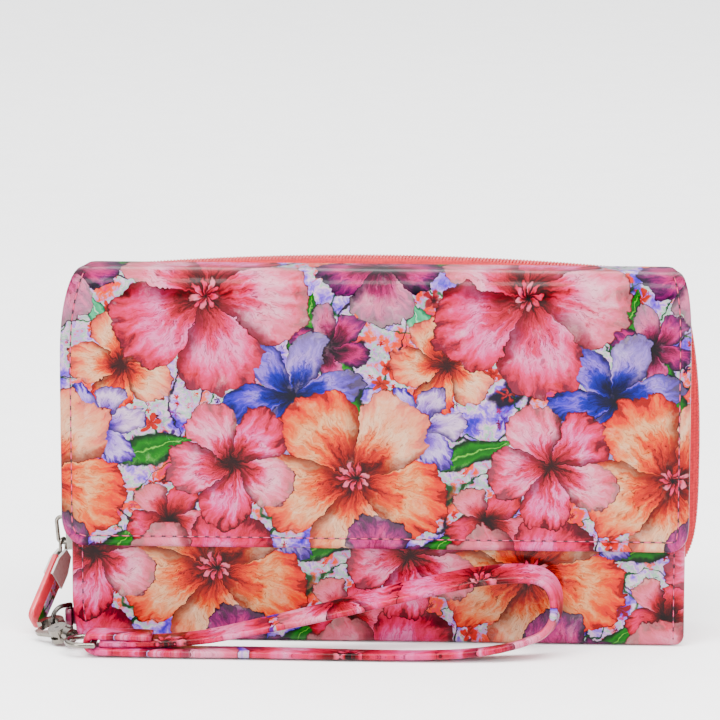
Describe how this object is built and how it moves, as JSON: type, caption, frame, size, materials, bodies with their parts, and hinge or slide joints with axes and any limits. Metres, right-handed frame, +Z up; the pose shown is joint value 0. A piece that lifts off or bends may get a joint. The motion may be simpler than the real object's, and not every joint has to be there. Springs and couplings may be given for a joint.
{
  "type": "wristlet wallet",
  "caption": "Flap wallet with a front pocket and card slots, a zip-around compartment with a coin pocket, and a wrist strap on a swivel clasp.",
  "frame": {"origin": "centre of the base's underside, on the surface the wallet stands on", "axes": "+X along the wallet to the right as seen from its flap side, +Y to its back, +Z up"},
  "size_m": [0.2088, 0.0578, 0.12],
  "materials": {
    "printed_cover": "gloss",
    "lining": "satin",
    "nickel": "polished",
    "tape": "woven",
    "coil": "satin",
    "tab_leather": "gloss",
    "pull_leather": "gloss"
  },
  "bodies": {
    "organiser": {"front_pocket_panel": "printed_cover", "front_pocket_lining": "lining", "middle_panel": "printed_cover", "snap_socket": "nickel", "front_gusset_left": "lining", "front_gusset_right": "lining", "card_slot_left_1": "lining", "card_slot_left_2": "lining", "card_slot_left_3": "lining", "card_slot_right_1": "lining", "card_slot_right_2": "lining", "card_slot_right_3": "lining", "zip_tape_front": "tape", "zip_coil_front": "coil", "zip_gusset_front_left": "lining", "zip_gusset_front_right": "lining", "d_ring_tab": "tab_leather"},
    "flap_top": {"flap_top_strip": "printed_cover"},
    "flap": {"flap_panel": "printed_cover", "flap_lining": "lining", "snap_stud": "nickel"},
    "back_shell": {"back_panel": "printed_cover", "back_slip_pocket": "lining", "zip_tape_back": "tape", "zip_coil_back": "coil", "zip_gusset_back_left": "lining", "zip_gusset_back_right": "lining"},
    "coin_pocket": {"coin_pocket_front": "lining", "coin_pocket_back": "lining", "coin_zip_tape": "tape", "coin_zip_lower_row": "coil", "coin_zip_upper_row": "coil"},
    "coin_runner": {"coin_slider": "nickel"},
    "slider": {"zip_slider": "nickel", "zip_bail": "nickel"},
    "puller_link": {"pull_link": "nickel"},
    "puller": {"pull_clamp": "nickel", "pull_tab": "pull_leather"},
    "ring": {"d_ring": "nickel"},
    "clasp": {"clasp_hook": "nickel", "gate_pin": "nickel"},
    "gate": {"clasp_gate": "nickel"},
    "eye": {"swivel_eye": "nickel"},
    "wrist_strap": {"strap_fold": "printed_cover", "strap": "printed_cover"}
  },
  "joints": [
    {"name": "flap_hinge", "type": "hinge", "parent": "organiser", "child": "flap_top", "pos_m": [0, -0.0024, 0.1176], "axis": [-1, 0, 0], "range_deg": [0, 90]},
    {"name": "flap_bend", "type": "hinge", "parent": "flap_top", "child": "flap", "pos_m": [0, -0.0172, 0.1162], "axis": [-1, 0, 0], "range_deg": [0, 90]},
    {"name": "shell_hinge", "type": "hinge", "parent": "organiser", "child": "back_shell", "pos_m": [0, 0.0158, 0.0012], "axis": [-1, 0, 0], "range_deg": [0, 70]},
    {"name": "pocket_hinge", "type": "hinge", "parent": "organiser", "child": "coin_pocket", "pos_m": [0, 0.0068, 0.0049], "axis": [-1, 0, 0], "range_deg": [0, 36]},
    {"name": "coin_slide", "type": "slide", "parent": "coin_pocket", "child": "coin_runner", "axis": [1, 0, 0], "range_m": [0, 0.12]},
    {"name": "zip_run", "type": "hinge", "parent": "organiser", "child": "slider", "pos_m": [0.153, 0.0068, 0.052], "axis": [0, -1, 0], "range_deg": [-14, 0]},
    {"name": "link_swing", "type": "hinge", "parent": "slider", "child": "puller_link", "pos_m": [-0.10024, 0.0068, 0.02541], "axis": [-0.9961, 0, -0.088], "range_deg": [0, 22]},
    {"name": "puller_swing", "type": "hinge", "parent": "puller_link", "child": "puller", "pos_m": [-0.10036, 0.0068, 0.02106], "axis": [-0.9272, 0.3746, 0], "range_deg": [0, 30]},
    {"name": "ring_turn", "type": "hinge", "parent": "organiser", "child": "ring", "pos_m": [-0.09605, -0.0128, 0.0062], "axis": [0, 0, 1], "range_deg": [-8, 0]},
    {"name": "clasp_turn", "type": "hinge", "parent": "ring", "child": "clasp", "pos_m": [-0.10121, -0.01745, 0.0062], "axis": [0, 0, 1], "range_deg": [-40, 0]},
    {"name": "gate_swing", "type": "hinge", "parent": "clasp", "child": "gate", "pos_m": [-0.09843, -0.02448, 0.00384], "axis": [0.2724, 0.2068, -0.9397], "range_deg": [0, 15], "stiffness_Nm_per_rad": 0.01, "springref_deg": -17.19},
    {"name": "swivel", "type": "hinge", "parent": "clasp", "child": "eye", "pos_m": [-0.08955, -0.03455, 0.0042], "axis": [0.6046, -0.7965, 0], "range_deg": [0, 45]},
    {"name": "strap_lift", "type": "hinge", "parent": "eye", "child": "wrist_strap", "pos_m": [-0.08615, -0.03455, 0.0042], "axis": [0, -1, 0], "range_deg": [0, 80]}
  ],
  "couplings": [
    {"joint": "flap_bend", "follows": "flap_hinge", "ratio": 1},
    {"joint": "pocket_hinge", "follows": "shell_hinge", "ratio": 0.5}
  ]
}
